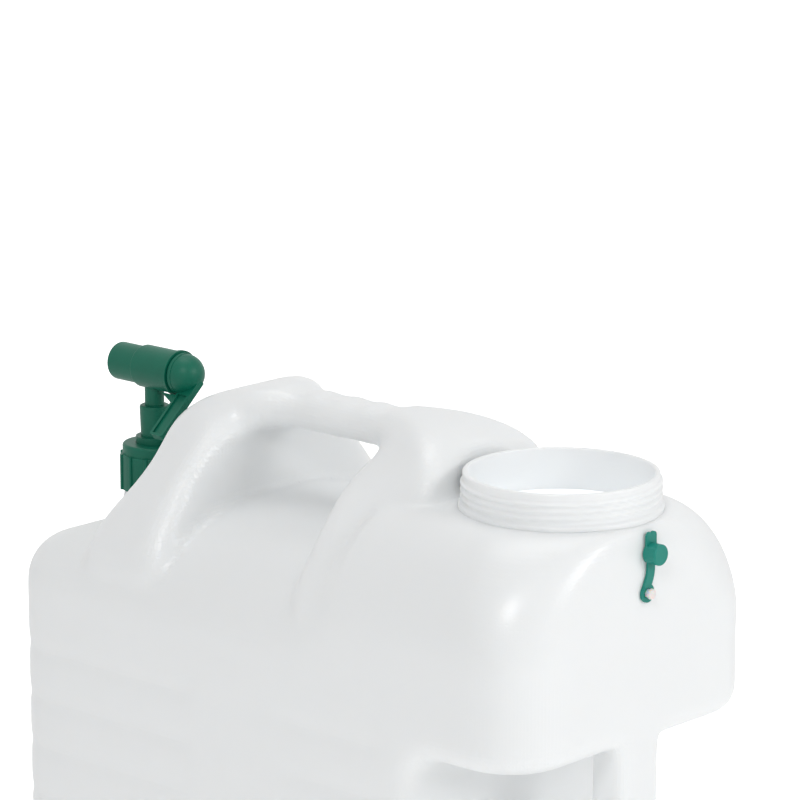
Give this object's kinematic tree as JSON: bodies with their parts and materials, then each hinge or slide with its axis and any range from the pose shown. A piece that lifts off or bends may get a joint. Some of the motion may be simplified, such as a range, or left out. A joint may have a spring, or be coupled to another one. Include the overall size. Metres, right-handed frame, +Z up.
{
  "type": "carboy with spigot",
  "caption": "Blow-moulded water carboy with a wide threaded neck, an arched carrying handle, a side grip, ribbed sides, a small vent and a screw-on lever spigot.",
  "frame": {"origin": "on the floor under the middle of the body", "axes": "+X towards the wide mouth's end, with the spigot at -X; Y across the body; +Z up"},
  "size_m": [0.4348, 0.2172, 0.3574],
  "materials": {
    "canister_plastic": "satin, translucent",
    "spigot_green": "semi-gloss",
    "seal_rubber": "matte",
    "vent_white": "satin",
    "vent_teal": "satin"
  },
  "bodies": {
    "canister": {"tank": "canister_plastic", "tank_top": "canister_plastic", "spigot_gasket": "seal_rubber", "spigot_socket": "spigot_green", "spigot_nut": "spigot_green", "spigot_barrel": "spigot_green", "stem_seal_ring": "seal_rubber", "vent_nozzle": "vent_white", "strap_peg": "vent_white"},
    "lever": {"spigot_plug": "spigot_green", "plug_seal_rings": "seal_rubber"},
    "vent": {"vent_cap": "vent_teal"}
  },
  "joints": [
    {"name": "spigot_lever", "type": "hinge", "parent": "canister", "child": "lever", "pos_m": [-0.18, 0, 0.3433], "axis": [1, 0, 0], "range_deg": [0, 90]},
    {"name": "vent_cap_pull", "type": "slide", "parent": "canister", "child": "vent", "axis": [1, 0, 0], "range_m": [0, 0.0016]}
  ]
}
